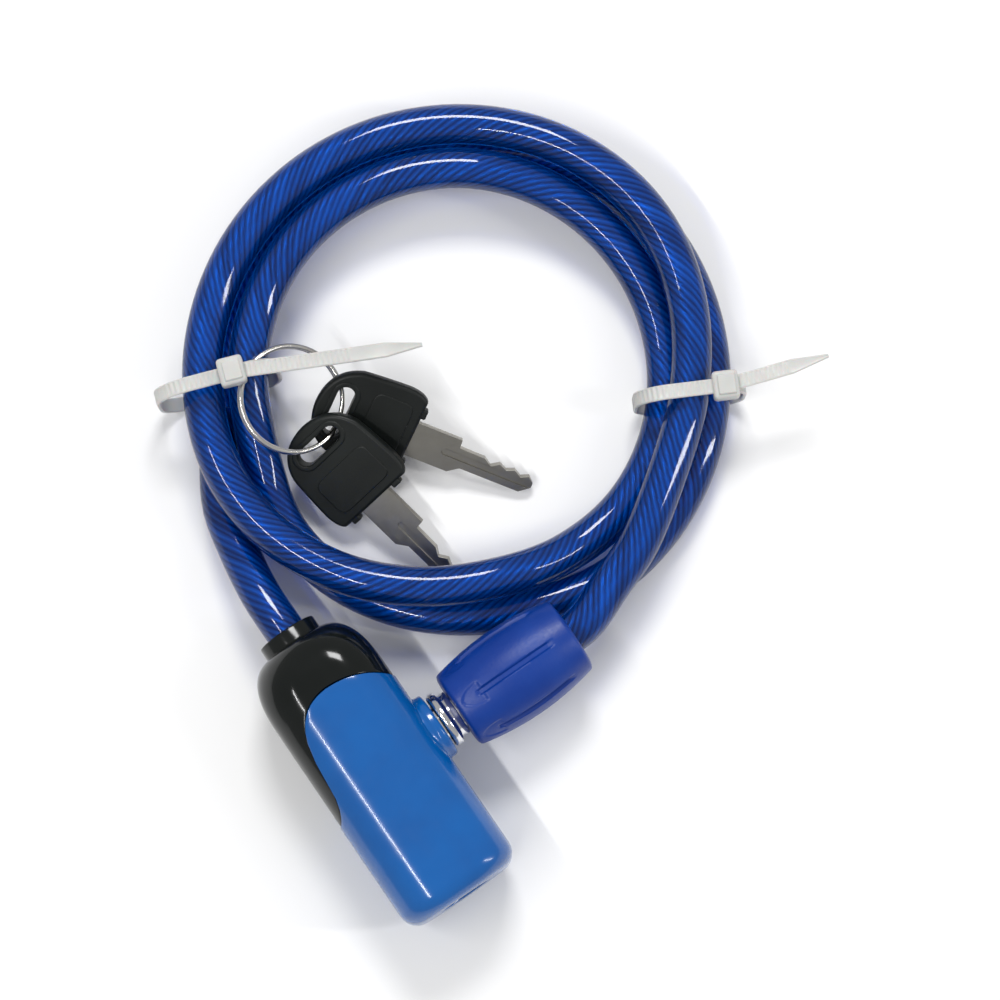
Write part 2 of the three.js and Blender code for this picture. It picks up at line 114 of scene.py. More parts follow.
SHELL_BLUE = Finish("shell_blue", "shell_blue", Stuff.MOULDED, (0.0, 0.10, 0.37), (0.0, 0.083, 0.32),
                    (0.15, 0.24), 260.0, 0.00003, 0.25)
HOOD_BLACK = Finish("hood_black", "hood_black", Stuff.MOULDED, (0.002, 0.0035, 0.003), (0.004, 0.0055, 0.005),
                    (0.10, 0.17), 240.0, 0.00003, 0.05, 1.0, 0.35)
GRIP_BLUE = Finish("grip_blue", "grip_blue", Stuff.MOULDED, (0.0, 0.030, 0.235), (0.0, 0.040, 0.28),
                   (0.32, 0.46), 1500.0, 0.00009, 0.0, 1.0, 0.4)
KEY_BLACK = Finish("key_black", "key_black", Stuff.MOULDED, (0.003, 0.0045, 0.004), (0.006, 0.0085, 0.0075),
                   (0.38, 0.55), 2600.0, 0.00006, 0.0, 1.0, 0.35)
NYLON = Finish("nylon_white", "nylon_white", Stuff.MOULDED, (0.60, 0.60, 0.58), (0.50, 0.505, 0.49),
               (0.32, 0.48), 700.0, 0.00003, 0.0)
CHROME = Finish("chrome", "chrome", Stuff.METAL, (0.82, 0.82, 0.83), (0.72, 0.73, 0.74),
                (0.09, 0.16), 500.0, 0.00001)
NICKEL = Finish("nickel", "nickel", Stuff.METAL, (0.36, 0.345, 0.31), (0.26, 0.25, 0.22),
                (0.28, 0.46), 2200.0, 0.00003, 0.0, 3.0)
RING_STEEL = Finish("ring_steel", "steel", Stuff.METAL, (0.74, 0.73, 0.70), (0.62, 0.60, 0.56),
                    (0.12, 0.24), 1400.0, 0.00001)
BRIGHT_STEEL = Finish("bright_steel", "steel", Stuff.METAL, (0.60, 0.60, 0.60), (0.50, 0.50, 0.51),
                      (0.22, 0.36), 1200.0, 0.00002, 0.0, 4.0)
DIE_CAST = Finish("die_cast", "zinc", Stuff.METAL, (0.36, 0.37, 0.38), (0.28, 0.29, 0.30),
                  (0.45, 0.62), 1600.0, 0.00005)
TURNED_BRASS = Finish("turned_brass", "brass", Stuff.METAL, (0.62, 0.46, 0.18), (0.52, 0.38, 0.15),
                      (0.24, 0.38), 1300.0, 0.00002, 0.0, 4.0)


def feed(tree: bpy.types.NodeTree, node: bpy.types.Node, fed: dict[str | int, object]) -> None:
    """Fills a node's inputs.

    Args:
        tree: the tree that the node is in.
        node: the node.
        fed: what each input takes, which is an output socket or a value.
    """
    for label, source in fed.items():
        if isinstance(source, bpy.types.NodeSocket):
            tree.links.new(source, node.inputs[label])
        else:
            node.inputs[label].default_value = source


def add_node(tree: bpy.types.NodeTree, kind: str, fed: dict[str | int, object] | None = None,
             operation: str = "") -> bpy.types.Node:
    """Adds a shader node and fills its inputs.

    Args:
        tree: the tree that it goes into.
        kind: its type.
        fed: what each input takes, as in feed.
        operation: what a math node does.

    Returns:
        The new node.
    """
    node = tree.nodes.new(kind)
    if kind == "ShaderNodeMix":
        node.data_type = "RGBA"
    if operation:
        node.operation = operation
    feed(tree, node, fed or {})
    return node


class FinishShop:
    """Makes each material once."""

    def __init__(self) -> None:
        """Builds the shared node groups."""
        self.made: dict[str, bpy.types.Material] = {}
        self.grain = self._grain_group()
        self.lay = self._lay_group()

    @staticmethod
    def _group(name: str, inputs: dict[str, float | Point], outputs: dict[str, str]) -> bpy.types.NodeTree:
        """Starts a shader node group.

        Args:
            name: the group's name.
            inputs: socket names with their default values.
            outputs: socket names with their socket types.

        Returns:
            The node tree, with its sockets and nothing else.
        """
        tree = bpy.data.node_groups.new(name, "ShaderNodeTree")
        for label, value in inputs.items():
            kind = "NodeSocketFloat" if isinstance(value, float) else "NodeSocketColor"
            socket = tree.interface.new_socket(label, in_out="INPUT", socket_type=kind)
            socket.default_value = value if isinstance(value, float) else (*value, 1.0)
        for label, kind in outputs.items():
            tree.interface.new_socket(label, in_out="OUTPUT", socket_type=kind)
        return tree

    def _grain_group(self) -> bpy.types.NodeTree:
        """Surface grain, colour drift and uneven polish, from the piece's own coordinates.

        Returns:
            The group, which puts out Colour, Roughness and Height.
        """
        tree = self._group(
            "surface_grain",
            {"Colour": (0.5, 0.5, 0.5), "Shade": (0.4, 0.4, 0.4), "Grain": 900.0, "Brushed": 1.0,
             "Smoothest": 0.2, "Roughest": 0.3},
            {"Colour": "NodeSocketColor", "Roughness": "NodeSocketFloat", "Height": "NodeSocketFloat"},
        )
        given = tree.nodes.new("NodeGroupInput").outputs
        place = add_node(tree, "ShaderNodeTexCoord")
        squeeze = add_node(tree, "ShaderNodeMath", {0: 1.0, 1: given["Brushed"]}, "DIVIDE")
        stretch = add_node(tree, "ShaderNodeCombineXYZ", {"X": squeeze.outputs[0], "Y": 1.0, "Z": 1.0})
        scaled = add_node(tree, "ShaderNodeVectorMath", {0: place.outputs["Object"], 1: stretch.outputs[0]},
                          "MULTIPLY")
        fine = add_node(tree, "ShaderNodeTexNoise",
                        {"Vector": scaled.outputs[0], "Scale": given["Grain"], "Detail": 3.0})
        broad = add_node(tree, "ShaderNodeTexNoise",
                         {"Vector": place.outputs["Object"], "Scale": 70.0, "Detail": 4.0})
        drift = add_node(tree, "ShaderNodeMapRange",
                         {"Value": broad.outputs["Fac"], "From Min": 0.35, "From Max": 0.7})
        mix = add_node(tree, "ShaderNodeMix",
                       {"Factor": drift.outputs["Result"], "A": given["Colour"], "B": given["Shade"]})
        blend = add_node(tree, "ShaderNodeMath", {0: fine.outputs["Fac"], 1: broad.outputs["Fac"]},
                         "MULTIPLY")
        polish = add_node(tree, "ShaderNodeMapRange",
                          {"Value": blend.outputs[0], "From Min": 0.12, "From Max": 0.42,
                           "To Min": given["Smoothest"], "To Max": given["Roughest"]})
        feed(tree, tree.nodes.new("NodeGroupOutput"),
             {"Colour": mix.outputs["Result"], "Roughness": polish.outputs["Result"],
              "Height": fine.outputs["Fac"]})
        return tree

    def _lay_group(self) -> bpy.types.NodeTree:
        """Wires of the laid rope: a random tone to each wire with a drift along it, and a painted highlight
        on each wire's crest that fades to painted shade in the grooves between wires.

        Returns:
            The group, which puts out Colour and Height.
        """
        tree = self._group(
            "rope_lay",
            {"Bright": (0.95, 0.97, 1.0), "Groove Shade": (0.16, 0.18, 0.22), "Wires": 12.0},
            {"Colour": "NodeSocketColor", "Height": "NodeSocketFloat"},
        )
        given = tree.nodes.new("NodeGroupInput").outputs
        place = add_node(tree, "ShaderNodeTexCoord")
        split = add_node(tree, "ShaderNodeSeparateXYZ", {0: place.outputs["UV"]})
        count = add_node(tree, "ShaderNodeMath", {0: split.outputs["Y"], 1: given["Wires"]}, "MULTIPLY")
        wire = add_node(tree, "ShaderNodeMath", {0: count.outputs[0]}, "FLOOR")
        within = add_node(tree, "ShaderNodeMath", {0: count.outputs[0]}, "FRACT")
        along = add_node(tree, "ShaderNodeCombineXYZ", {"X": split.outputs["X"], "Y": wire.outputs[0]})
        tone = add_node(tree, "ShaderNodeTexNoise", {"Vector": along.outputs[0], "Scale": 9.0, "Detail": 2.0})
        ridge = add_node(tree, "ShaderNodeMath", {0: within.outputs[0], 1: 0.5}, "PINGPONG")
        soft = add_node(tree, "ShaderNodeMapRange",
                        {"Value": tone.outputs["Fac"], "From Min": 0.3, "From Max": 0.7,
                         "To Min": -0.35, "To Max": 0.45})
        # Painted highlight and shade: the mix runs from the dark colour in the grooves between wires to the
        # bright colour on each wire's crest, shifted by a random tone per wire.
        lit = add_node(tree, "ShaderNodeMath", {0: ridge.outputs[0], 1: 1.5, 2: soft.outputs["Result"]},
                       "MULTIPLY_ADD")
        mix = add_node(tree, "ShaderNodeMix",
                       {"Factor": lit.outputs[0], "A": given["Groove Shade"], "B": given["Bright"]})
        feed(tree, tree.nodes.new("NodeGroupOutput"),
             {"Colour": mix.outputs["Result"], "Height": ridge.outputs[0]})
        return tree

    @staticmethod
    def _start(name: str, values: dict[str, object]) -> tuple[bpy.types.Material, bpy.types.Node]:
        """A new node material.

        Args:
            name: the material's name.
            values: constants of its shader.

        Returns:
            The material and its Principled shader.
        """
        material = bpy.data.materials.new(name)
        material.use_nodes = True
        shader = material.node_tree.nodes["Principled BSDF"]
        feed(material.node_tree, shader, values)
        return material, shader

    @staticmethod
    def _pattern(tree: bpy.types.NodeTree, shader: bpy.types.Node, group: bpy.types.NodeTree,
                 values: dict[str, object], relief: Pair, uses: dict[str, str]) -> None:
        """Puts a shared group, and a bump from its Height, before a shader.

        Args:
            tree: the material's tree.
            shader: its shader.
            group: the shared group.
            values: constants of the group's inputs.
            relief: strength and distance of the bump.
            uses: shader inputs with the group's output that each takes.
        """
        pattern = tree.nodes.new("ShaderNodeGroup")
        pattern.node_tree = group
        feed(tree, pattern, values)
        bump = add_node(tree, "ShaderNodeBump", {"Strength": relief[0], "Distance": relief[1],
                                                 "Height": pattern.outputs["Height"]})
        feed(tree, shader, {label: pattern.outputs[output] for label, output in uses.items()})
        feed(tree, shader, {"Normal": bump.outputs["Normal"]})

    def surface(self, finish: Finish) -> bpy.types.Material:
        """The material of a plastic or metal finish.

        Args:
            finish: what it looks like.

        Returns:
            The material, made on the first call.
        """
        if finish.name in self.made:
            return self.made[finish.name]
        material, shader = self._start(finish.name, {
            "Metallic": 1.0 if finish.stuff is Stuff.METAL else 0.0, "Specular IOR Level": finish.specular,
            "Coat Weight": finish.coat, "Coat Roughness": 0.04})
        self.made[finish.name] = material
        self._pattern(material.node_tree, shader, self.grain, {
            "Colour": (*finish.colour, 1.0), "Shade": (*finish.shade, 1.0), "Grain": finish.grain,
            "Brushed": finish.brushed, "Smoothest": finish.rough[0], "Roughest": finish.rough[1],
        }, (0.35, finish.relief), {"Base Color": "Colour", "Roughness": "Roughness"})
        if finish is NYLON:
            feed(material.node_tree, shader, {"Subsurface Weight": 0.25, "Subsurface Scale": 0.001})
        return material

    def clear_sleeve(self) -> bpy.types.Material:
        """Clear deep blue PVC that lets the rope show and casts a blue shadow."""
        material, shader = self._start("clear_blue_pvc", {
            "Base Color": (0.0, 0.062, 0.34, 1.0), "Transmission Weight": 0.93, "IOR": 1.45,
            "Specular IOR Level": 0.5})
        tree = material.node_tree
        self._pattern(tree, shader, self.grain, {"Grain": 160.0, "Smoothest": 0.03, "Roughest": 0.09},
                      (0.25, 0.00005), {"Roughness": "Roughness"})
        through = add_node(tree, "ShaderNodeBsdfTransparent", {"Color": (0.03, 0.17, 0.5, 1.0)})
        rays = add_node(tree, "ShaderNodeLightPath")
        mix = add_node(tree, "ShaderNodeMixShader", {"Fac": rays.outputs["Is Shadow Ray"],
                                                     1: shader.outputs["BSDF"], 2: through.outputs["BSDF"]})
        feed(tree, tree.nodes["Material Output"], {"Surface": mix.outputs["Shader"]})
        return material

    def rope(self) -> bpy.types.Material:
        """Galvanised laid wire, with painted highlight on the wire crests and painted shade in the grooves
        between them.
        """
        material, shader = self._start("laid_wire", {"Metallic": 0.35, "Roughness": 0.38})
        self._pattern(material.node_tree, shader, self.lay, {}, (0.5, 0.0002), {"Base Color": "Colour"})
        return material


SHOP = FinishShop()


# ---------------------------------------------------------------- mesh work


def placed(name: str, data: bpy.types.ID) -> bpy.types.Object:
    """A new object in the scene."""
    obj = bpy.data.objects.new(name, data)
    bpy.context.scene.collection.objects.link(obj)
    return obj


def around(sides: int) -> list[float]:
    """Angles of a full turn in even steps."""
    return [2 * math.pi * i / sides for i in range(sides)]


def piece_from(name: str, points: list[Point], faces: list[tuple[int, ...]]) -> bpy.types.Object:
    """A smooth-shaded mesh object in the scene.

    Args:
        name: the piece's name.
        points: corners, in mm.
        faces: corner numbers of each face.

    Returns:
        The new object.
    """
    mesh = bpy.data.meshes.new(name)
    mesh.from_pydata([tuple(c * MM for c in p) for p in points], [], faces)
    mesh.validate()
    mesh.update()
    for polygon in mesh.polygons:
        polygon.use_smooth = True
    return placed(name, mesh)


def skin(name: str, rows: list[Row], start_cap: bool = False, end_cap: bool = False,
         ring_closed: bool = False) -> bpy.types.Object:
    """A surface through rows of points, each row closed on itself.

    Args:
        name: the piece's name.
        rows: rows with the same number of points, in mm.
        start_cap: whether the first row is filled.
        end_cap: whether the last row is filled.
        ring_closed: whether the last row joins the first.

    Returns:
        The new object.
    """
    n = len(rows[0])
    faces: list[tuple[int, ...]] = []
    for k in range(len(rows) if ring_closed else len(rows) - 1):
        here, there = k * n, ((k + 1) % len(rows)) * n
        faces += [(here + i, here + (i + 1) % n, there + (i + 1) % n, there + i) for i in range(n)]
    if start_cap:
        faces.append(tuple(reversed(range(n))))
    if end_cap:
        faces.append(tuple((len(rows) - 1) * n + i for i in range(n)))
    return piece_from(name, [p for row in rows for p in row], faces)


def finish_piece(obj: bpy.types.Object, finish: Finish, body: Body, stands_for: str = "",
                 crease: float = 35.0) -> None:
    """Dresses a piece and puts it on its body.

    Args:
        obj: the piece.
        finish: its finish.
        body: the body that it rides on.
        stands_for: CAD node that it replaces, if any.
        crease: angle in degrees above which an edge stays crisp.
    """
    obj.data.materials.clear()
    obj.data.materials.append(SHOP.surface(finish))
    obj.data.set_sharp_from_angle(angle=math.radians(crease))
    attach(obj, body.value)
    if stands_for:
        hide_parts(stands_for)
    LOG.info("%s on %s", obj.name, body.value)


def turned_rows(profile: list[Pair], axis: str = "x", sides: int = 96) -> list[Row]:
    """Round rows about the X or the Y axis of the lock.

    Args:
        profile: (distance along the axis, radius) pairs, in mm.
        axis: "x" or "y".
        sides: points round each row.

    Returns:
        One row for each pair.
    """
    rows: list[Row] = []
    for along, radius in profile:
        circle = [(radius * math.cos(a), AXIS_Z + radius * math.sin(a)) for a in around(sides)]
        rows.append([(along, side, up) for side, up in circle] if axis == "x"
                    else [(side, along, up) for side, up in reversed(circle)])
    return rows


def turned(name: str, profile: list[Pair], axis: str) -> bpy.types.Object:
    """A solid turned piece, from the same profile and axis as its rows."""
    return skin(name, turned_rows(profile, axis), True, True)


def plate(name: str, outline: list[Pair], holes: list[list[Pair]], low: float, high: float,
          edge: float) -> bpy.types.Object:
    """A flat plate with rounded edges, lying in its own XY plane.

    Args:
        name: the piece's name.
        outline: its outer corners, in mm.
        holes: the corners of each hole, in mm.
        low: height of its underside, in mm.
        high: height of its top, in mm.
        edge: radius of its edges, in mm.

    Returns:
        The new object.
    """
    curve = bpy.data.curves.new(name, "CURVE")
    curve.dimensions = "2D"
    curve.fill_mode = "BOTH"
    curve.extrude = ((high - low) / 2 - edge) * MM
    curve.bevel_depth = edge * MM
    curve.bevel_resolution = 2
    curve.offset = -edge * MM
    for loop in [outline, *holes]:
        spline = curve.splines.new("POLY")
        spline.points.add(len(loop) - 1)
        for point, (x, y) in zip(spline.points, loop):
            point.co = (x * MM, y * MM, 0, 1)
        spline.use_cyclic_u = True
    source = placed(name + "_outline", curve)
    bpy.context.view_layer.update()
    mesh = bpy.data.meshes.new_from_object(source.evaluated_get(bpy.context.evaluated_depsgraph_get()))
    bpy.data.objects.remove(source)
    mesh.name = name
    mesh.transform(Matrix.Translation((0, 0, (low + high) / 2 * MM)))
    for polygon in mesh.polygons:
        polygon.use_smooth = True
    return placed(name, mesh)


def join_into(first: bpy.types.Object, *others: bpy.types.Object) -> bpy.types.Object:
    """Joins meshes into the first.

    Args:
        first: the object that stays.
        others: objects that end up in it.

    Returns:
        The first object.
    """
    with bpy.context.temp_override(active_object=first, selected_editable_objects=[first, *others]):
        bpy.ops.object.join()
    return first


def block(name: str, low: Point, high: Point, edge: float) -> bpy.types.Object:
    """A block with rounded edges.

    Args:
        name: the piece's name.
        low: lowest corner, in mm.
        high: highest corner, in mm.
        edge: edge radius, in mm.

    Returns:
        The new object.
    """
    outline = [(low[0], low[1]), (high[0], low[1]), (high[0], high[1]), (low[0], high[1])]
    return plate(name, rounded(outline, edge * 1.2), [], low[2], high[2], edge)


def rounded(corners: list[Pair], radius: float, steps: int = 4) -> list[Pair]:
    """An outline with its corners rounded.

    Args:
        corners: the sharp corners, in order.
        radius: how far each corner is cut back along its sides.
        steps: pieces that each round has.

    Returns:
        The new corners.
    """
    result = []
    n = len(corners)
    for i, corner in enumerate(corners):
        here = Vector(corner)
        before, after = Vector(corners[i - 1]), Vector(corners[(i + 1) % n])
        cut = min(radius, (before - here).length * 0.45, (after - here).length * 0.45)
        a, b = here + (before - here).normalized() * cut, here + (after - here).normalized() * cut
        for k in range(steps + 1):
            t = k / steps
            q = a * (1 - t) ** 2 + here * 2 * t * (1 - t) + b * t * t
            result.append((q.x, q.y))
    return result


def smooth_step(t: float) -> float:
    """0 below 0, 1 above 1, and a smooth rise between."""
    t = min(1.0, max(0.0, t))
    return t * t * (3 - 2 * t)


# ---------------------------------------------------------------- cable


@dataclass
class CableRoute:
    """Where the cable lies, as the model has it, in mm.

    Attributes:
        centre: centre of the coil.
        radius: mean radius of the coil.
        turn_step: degrees between knots along the turns.
        turns: (angle, distance from the mean radius, height) along the coiled turns.
        body_lead: points from inside the hood to the coil.
        plug_lead: points from the coil to inside the grip.
    """

    centre: Pair = (70.2, 68.2)
    radius: float = 57.0
    turn_step: float = 7.5
    turns: list[Point] = field(default_factory=lambda: [
        (165, 5.4, 5.7), (145.5, 0, 6.3), (100, 0, 6.2), (60, 0, 6.2), (35, 3, 6.2), (12, 5.3, 6.2),
        (-34.5, 5.4, 6.3), (-85, 4.8, 5.2), (-104, 2.2, 5.1), (-120, 1.4, 5.3), (-150, 0.8, 5.3),
        (-172, -0.8, 5.8), (-189, -4.2, 8.9), (-202, -5.6, 13.2), (-217, -5.7, 15.8), (-260, -5.5, 15.6),
        (-304.5, -5.5, 15.6), (-345, -5.5, 11.4), (-385, -5.4, 6.6), (-430, -5.6, 6.4), (-450, -6.2, 8.2),
        (-466, -6.2, 12.6), (-478, -5.8, 14.4), (-497, -3.4, 15.9), (-520, 0.6, 16.8), (-545, 4.4, 16.5),
        (-574.5, 5.5, 15.7), (-620, 5.5, 15.7), (-664.5, 5.5, 15.9), (-690, 5.4, 16.6), (-715, 4.4, 16.6),
        (-754.5, 0, 16), (-772, -0.6, 15.6),
    ])
    body_lead: list[Point] = field(default_factory=lambda: [
        (0, 20, 15.5), (0, 39.2, 15.4), (0.1, 50, 13.6), (1.6, 62, 9.4), (4.6, 75, 6.2)])
    plug_lead: list[Point] = field(default_factory=lambda: [
        (84, 9.4, 15.7), (71, 4.2, 15.6), (61.5, 0.5, 15.5), (56, 0, 15.5), (51.2, 0, 15.5)])

    def _value(self, angle: float, k: int) -> float:
        """Value k of the turns at an angle, by a cubic that never overshoots them.

        Args:
            angle: angle about the coil's centre, in degrees, falling along the cable.
            k: 1 for the distance from the mean radius, 2 for the height.

        Returns:
            The value, in mm.
        """
        rows = self.turns
        i = 0
        while i < len(rows) - 2 and angle < rows[i + 1][0]:
            i += 1
        p0, p1, p2, p3 = rows[max(0, i - 1)], rows[i], rows[i + 1], rows[min(len(rows) - 1, i + 2)]
        u = (angle - p1[0]) / (p2[0] - p1[0])
        step = p2[k] - p1[k]

        def limit(slope: float) -> float:
            """A slope held to what keeps the curve between its rows."""
            return 0.0 if step * slope <= 0 else math.copysign(min(abs(slope), 3 * abs(step)), slope)

        m1 = limit((p2[k] - p0[k]) / (p2[0] - p0[0]) * (p2[0] - p1[0]))
        m2 = limit((p3[k] - p1[k]) / (p3[0] - p1[0]) * (p2[0] - p1[0]))
        return (p1[k] * (2 * u**3 - 3 * u * u + 1) + m1 * (u**3 - 2 * u * u + u)
                + p2[k] * (3 * u * u - 2 * u**3) + m2 * (u**3 - u * u))

    def knots(self) -> list[Vector]:
        """The points that the cable passes through, from the hood to the grip."""
        points = [Vector(p) for p in self.body_lead]
        angle = self.turns[0][0]
        while angle >= self.turns[-1][0]:
            r = self.radius + self._value(angle, 1)
            a = math.radians(angle)
            points.append(Vector((self.centre[0] + r * math.cos(a), self.centre[1] + r * math.sin(a),
                                  self._value(angle, 2))))
            angle -= self.turn_step
        return points + [Vector(p) for p in self.plug_lead]

    def line(self, spacing: float) -> list[Vector]:
        """The cable's centreline in even steps.

        Args:
            spacing: distance between points, in mm.

        Returns:
            Points on a centripetal spline through the knots.
        """
        knots = self.knots()
        knots = [knots[0] * 2 - knots[1], *knots, knots[-1] * 2 - knots[-2]]
        dense: list[Vector] = []
        for i in range(1, len(knots) - 2):
            p0, p1, p2, p3 = knots[i - 1:i + 3]
            t1 = (p1 - p0).length**0.5
            t2 = t1 + (p2 - p1).length**0.5
            t3 = t2 + (p3 - p2).length**0.5
            for k in range(24):
                t = t1 + (t2 - t1) * k / 24
                a1 = p0 * ((t1 - t) / t1) + p1 * (t / t1)
                a2 = p1 * ((t2 - t) / (t2 - t1)) + p2 * ((t - t1) / (t2 - t1))
                a3 = p2 * ((t3 - t) / (t3 - t2)) + p3 * ((t - t2) / (t3 - t2))
                b1 = a1 * ((t2 - t) / t2) + a2 * (t / t2)
                b2 = a2 * ((t3 - t) / (t3 - t1)) + a3 * ((t - t1) / (t3 - t1))
                dense.append(b1 * ((t2 - t) / (t2 - t1)) + b2 * ((t - t1) / (t2 - t1)))
        dense.append(knots[-2])
        return even_steps(dense, spacing)


def tube_rows(line: list[Vector], radii: list[float], sides: int) -> list[Row]:
    """Round rows along a line that don't twist about it.

    Args:
        line: the centreline, in mm.
        radii: radius at each of its points.
        sides: points round each row.

    Returns:
        One row for each point.
    """
    return [[tuple(point + (u * math.cos(a) + v * math.sin(a)) * radius) for a in around(sides)]
            for point, (u, v), radius in zip(line, frames_along(line), radii)]


def even_steps(points: list[Vector], spacing: float) -> list[Vector]:
    """A line's points moved to even steps along it.

    Args:
        points: the line.
        spacing: about how far apart the new points are.

    Returns:
        The new points, ends kept.
    """
    lengths = [0.0]
    for a, b in zip(points, points[1:]):
        lengths.append(lengths[-1] + (b - a).length)
    count = max(2, round(lengths[-1] / spacing))
    result, k = [], 0
    for i in range(count + 1):
        s = lengths[-1] * i / count
        while k < len(points) - 2 and lengths[k + 1] < s:
            k += 1
        t = (s - lengths[k]) / max(1e-9, lengths[k + 1] - lengths[k])
        result.append(points[k].lerp(points[k + 1], t))
    return result


def frames_along(line: list[Vector]) -> list[tuple[Vector, Vector]]:
    """Two directions square to a line at each of its points, that don't twist about it.

    Args:
        line: the points.

    Returns:
        One pair of unit vectors for each point.
    """
    result = []
    up = Vector((0, 0, 1))
    for i in range(len(line)):
        ahead = (line[min(i + 1, len(line) - 1)] - line[max(i - 1, 0)]).normalized()
        first = (up - ahead * up.dot(ahead)).normalized()
        up = first
        result.append((first, ahead.cross(first)))
    return result


@dataclass
class Cable:
    """The sleeved wire rope.

    Attributes:
        route: its centreline.
        sleeve_radius: of the clear sleeve, in mm.
        rope_radius: of the rope inside, in mm.
        wires: wires that show round the rope.
        lay_length: length in which a wire goes once round, in mm.
        wire_relief: depth of the valley between two wires, in mm.
        lead_length: length of the free lead at the lock body, in mm.
        step: distance between the rope's points. The sleeve has every second one.
        exit: where the cable comes out of the collar, in metres; not used.
        held: where the lead is held by the body, in metres; not used.
    """

    route: CableRoute = field(default_factory=CableRoute)
    sleeve_radius: float = 5.0
    rope_radius: float = 3.3
    wires: int = 12
    lay_length: float = 31.0
    wire_relief: float = 0.26
    lead_length: float = 82.0
    step: float = 1.4
    exit: Point = (0, 0.0392, 0.0154)
    held: Point = (0, 0.041, 0.0155)

    def build(self) -> None:
        """Makes the lead and the coil, each with its rope."""
        line = self.route.line(self.step)
        cut = round(self.lead_length / self.step)
        coarse = line[::2]
        half = cut // 2
        lead, coil = coarse[:half + 1], coarse[half:]
        lead_piece = skin("cable_lead", self._tube(lead))
        coil_piece = skin("cable_coil", self._tube(coil))
        lead_rope = self._rope("cable_lead_rope", line[:cut + 1], 0)
        coil_rope = self._rope("cable_coil_rope", line[2 * half:], 2 * half)
        pvc, wire = (SHOP.clear_sleeve(), "sleeve_pvc"), (SHOP.rope(), "rope_steel")
        for piece, (material, slot), node in (
                (coil_piece, pvc, "cable_sleeve"), (coil_rope, wire, "wire_rope"),
                (lead_piece, pvc, "cable_sleeve_lead"), (lead_rope, wire, "wire_rope_lead")):
            piece.data.materials.append(material)
            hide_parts(node)
        for piece in (coil_piece, coil_rope):
            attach(piece, Body.COIL.value)
        for piece in (lead_piece, lead_rope):
            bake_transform(piece)

    @staticmethod
    def _metres(point: Vector) -> Point:
        """A point in metres."""
        return tuple(c * MM for c in point)

    @staticmethod
    def _length(line: list[Vector]) -> float:
        """A line's length in metres."""
        return sum((b - a).length for a, b in zip(line, line[1:])) * MM

    def _tube(self, line: list[Vector]) -> list[Row]:
        """Rows of the sleeve along a line."""
        return tube_rows(line, [self.sleeve_radius] * len(line), 32)

    def _rope(self, name: str, line: list[Vector], first: int) -> bpy.types.Object:
        """The laid rope along a line, each wire a ridge that winds round it.

        Args:
            name: the piece's name.
            line: its centreline, in mm.
            first: number of its first point on the whole cable, so that the lay runs on.

        Returns:
            The rope, with a UV map of metres along and turns round.
        """
        per_wire = 5
        sides = self.wires * per_wire
        spacing = (line[1] - line[0]).length
        rows: list[Row] = []
        for k, (point, (u, v)) in enumerate(zip(line, frames_along(line))):
            wound = 2 * math.pi * (first + k) * spacing / self.lay_length
            row = []
            for a in around(sides):
                ridge = abs(math.sin(self.wires * a / 2))
                r = self.rope_radius - self.wire_relief * (1 - ridge)
                turn = a - wound
                row.append(tuple(point + (u * math.cos(turn) + v * math.sin(turn)) * r))
            rows.append(row)
        obj = skin(name, rows, True, True)
        layer = obj.data.uv_layers.new(name="lay")
        for polygon in obj.data.polygons:
            rounds = [obj.data.loops[c].vertex_index % sides for c in polygon.loop_indices]
            wrap = max(rounds) - min(rounds) > sides // 2
            for c, side in zip(polygon.loop_indices, rounds):
                along = obj.data.loops[c].vertex_index // sides + first
                share = (side + sides if wrap and side == 0 else side) / sides
                layer.data[c].uv = (along * spacing * MM, share)
        return obj


# ---------------------------------------------------------------- lock body


